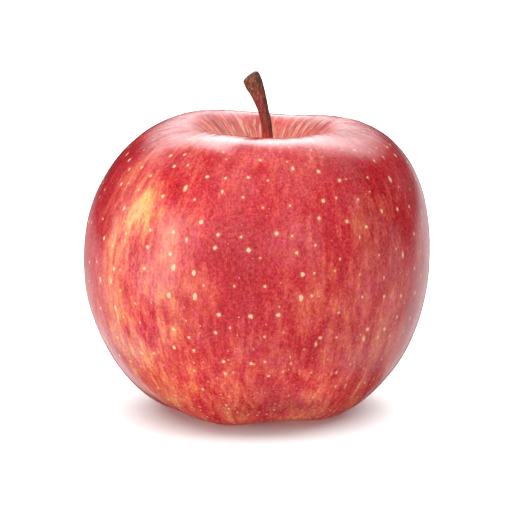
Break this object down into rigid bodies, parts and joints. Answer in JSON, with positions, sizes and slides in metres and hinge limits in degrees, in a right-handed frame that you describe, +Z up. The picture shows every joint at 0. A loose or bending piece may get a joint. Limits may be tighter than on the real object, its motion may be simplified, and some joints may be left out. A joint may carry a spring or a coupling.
{
  "type": "apple",
  "caption": "Ripe red apple with a stem cavity, a short woody stem and a dried calyx in the basin underneath.",
  "frame": {"origin": "middle of the footprint, on the surface the apple stands on", "axes": "+Z up from the calyx to the stem; -Y is the front, and the top of the stem leans to -X"},
  "size_m": [0.0836, 0.0836, 0.0817],
  "materials": {
    "skin": "waxy, glossy fruit skin, crimson streaked with orange and dotted with cream",
    "stem": "dull red-brown bark, rough at the broken end",
    "calyx": "dry, matt, papery leaf"
  },
  "bodies": {
    "root": {"fruit": "skin", "stem": "stem", "calyx": "calyx"}
  },
  "joints": []
}
